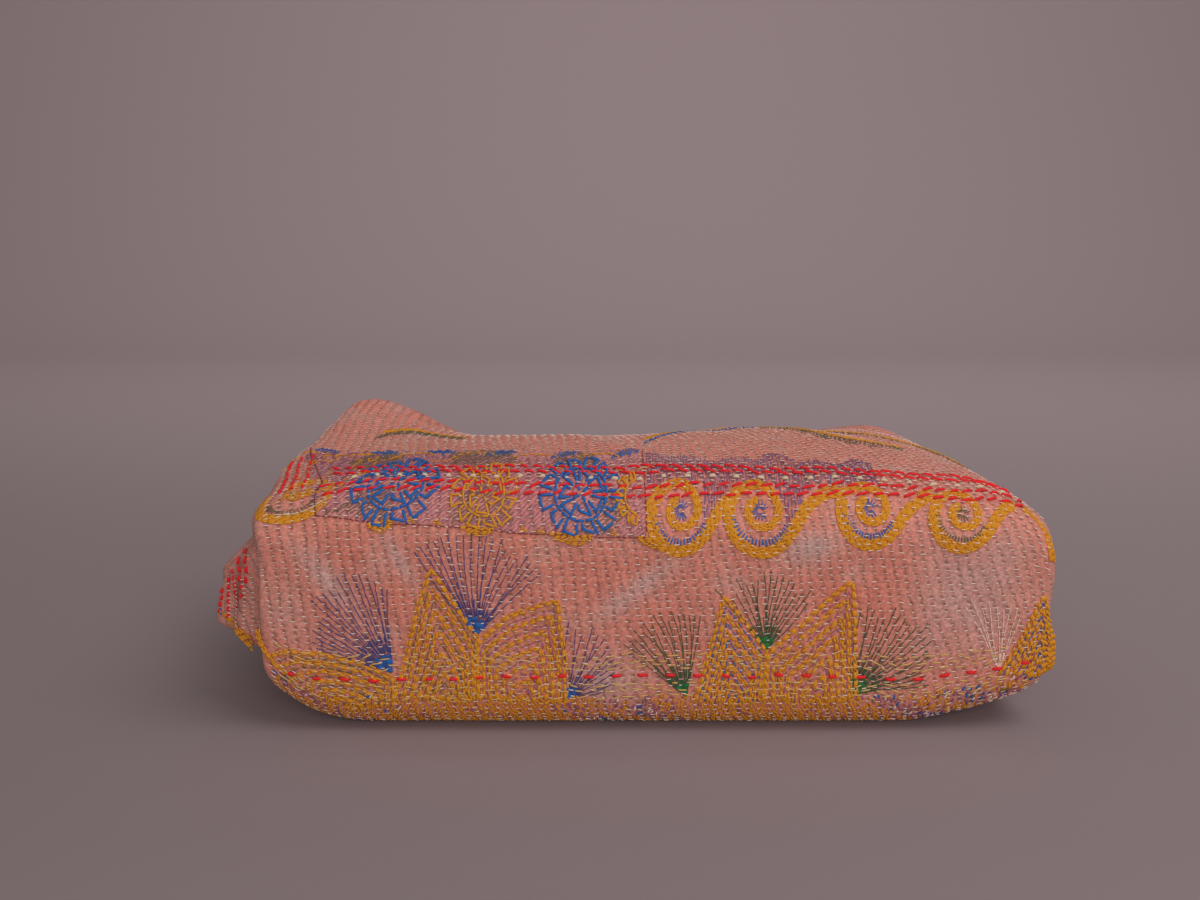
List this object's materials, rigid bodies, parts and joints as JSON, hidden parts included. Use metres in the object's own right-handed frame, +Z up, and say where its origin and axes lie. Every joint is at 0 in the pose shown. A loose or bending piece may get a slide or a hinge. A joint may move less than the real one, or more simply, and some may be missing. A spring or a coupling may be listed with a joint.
{
  "type": "folded kantha quilt",
  "caption": "Thin hand-stitched cotton quilt folded into a soft rectangular bundle, with a patched and embroidered outer face.",
  "frame": {"origin": "on the floor, under the middle of the folded bundle", "axes": "+X along the bundle from its left end to its right end, -Y its front, +Z up"},
  "size_m": [0.4676, 0.2156, 0.1527],
  "materials": {
    "cotton": "matt hand-stitched cotton"
  },
  "bodies": {
    "root": {"quilt": "cotton"}
  },
  "joints": []
}
